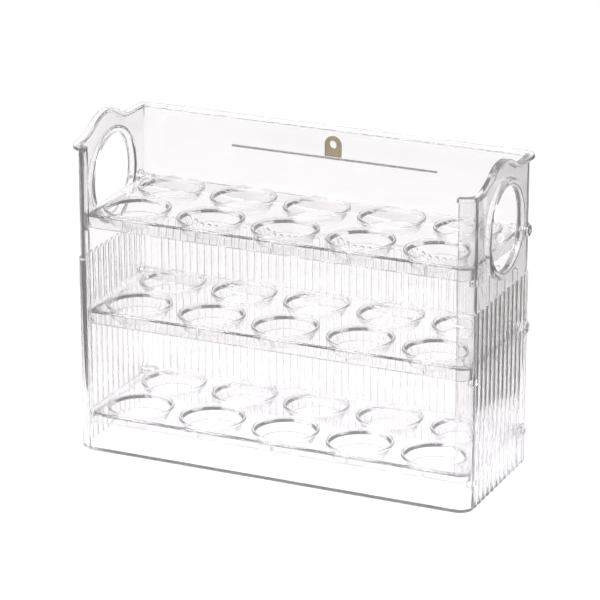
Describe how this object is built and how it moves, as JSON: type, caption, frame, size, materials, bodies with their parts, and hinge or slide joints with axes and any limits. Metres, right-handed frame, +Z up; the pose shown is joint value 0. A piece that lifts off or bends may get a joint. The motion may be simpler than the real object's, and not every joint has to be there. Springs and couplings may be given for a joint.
{
  "type": "egg holder tray",
  "caption": "Clear upright egg stand with fluted sides, round side handles and hinged trays of egg cups that flip up from the front.",
  "frame": {"origin": "centre of the bounding box at the underside of the floor", "axes": "+X along the width to the right as seen from the open front, +Y towards the back wall, +Z up"},
  "size_m": [0.2664, 0.1014, 0.2084],
  "materials": {
    "clear_plastic": "clear, polished",
    "amber_plastic": "clear amber, polished"
  },
  "bodies": {
    "stand": {"frame": "clear_plastic", "top_pin_left": "clear_plastic", "top_pin_right": "clear_plastic", "middle_pin_left": "clear_plastic", "middle_pin_right": "clear_plastic", "bottom_pin_left": "clear_plastic", "bottom_pin_right": "clear_plastic", "hanging_eye": "amber_plastic"},
    "top": {"top_tray": "clear_plastic"},
    "middle": {"middle_tray": "clear_plastic"},
    "bottom": {"bottom_tray": "clear_plastic"}
  },
  "joints": [
    {"name": "top_hinge", "type": "hinge", "parent": "stand", "child": "top", "pos_m": [0, 0.0397, 0.1525], "axis": [-1, 0, 0], "range_deg": [0, 91]},
    {"name": "middle_hinge", "type": "hinge", "parent": "stand", "child": "middle", "pos_m": [0, 0.0397, 0.0905], "axis": [-1, 0, 0], "range_deg": [0, 78]},
    {"name": "bottom_hinge", "type": "hinge", "parent": "stand", "child": "bottom", "pos_m": [0, 0.0397, 0.023], "axis": [-1, 0, 0], "range_deg": [0, 77]}
  ],
  "couplings": [
    {"joint": "middle_hinge", "follows": "top_hinge", "ratio": 0.857},
    {"joint": "bottom_hinge", "follows": "top_hinge", "ratio": 0.846}
  ]
}
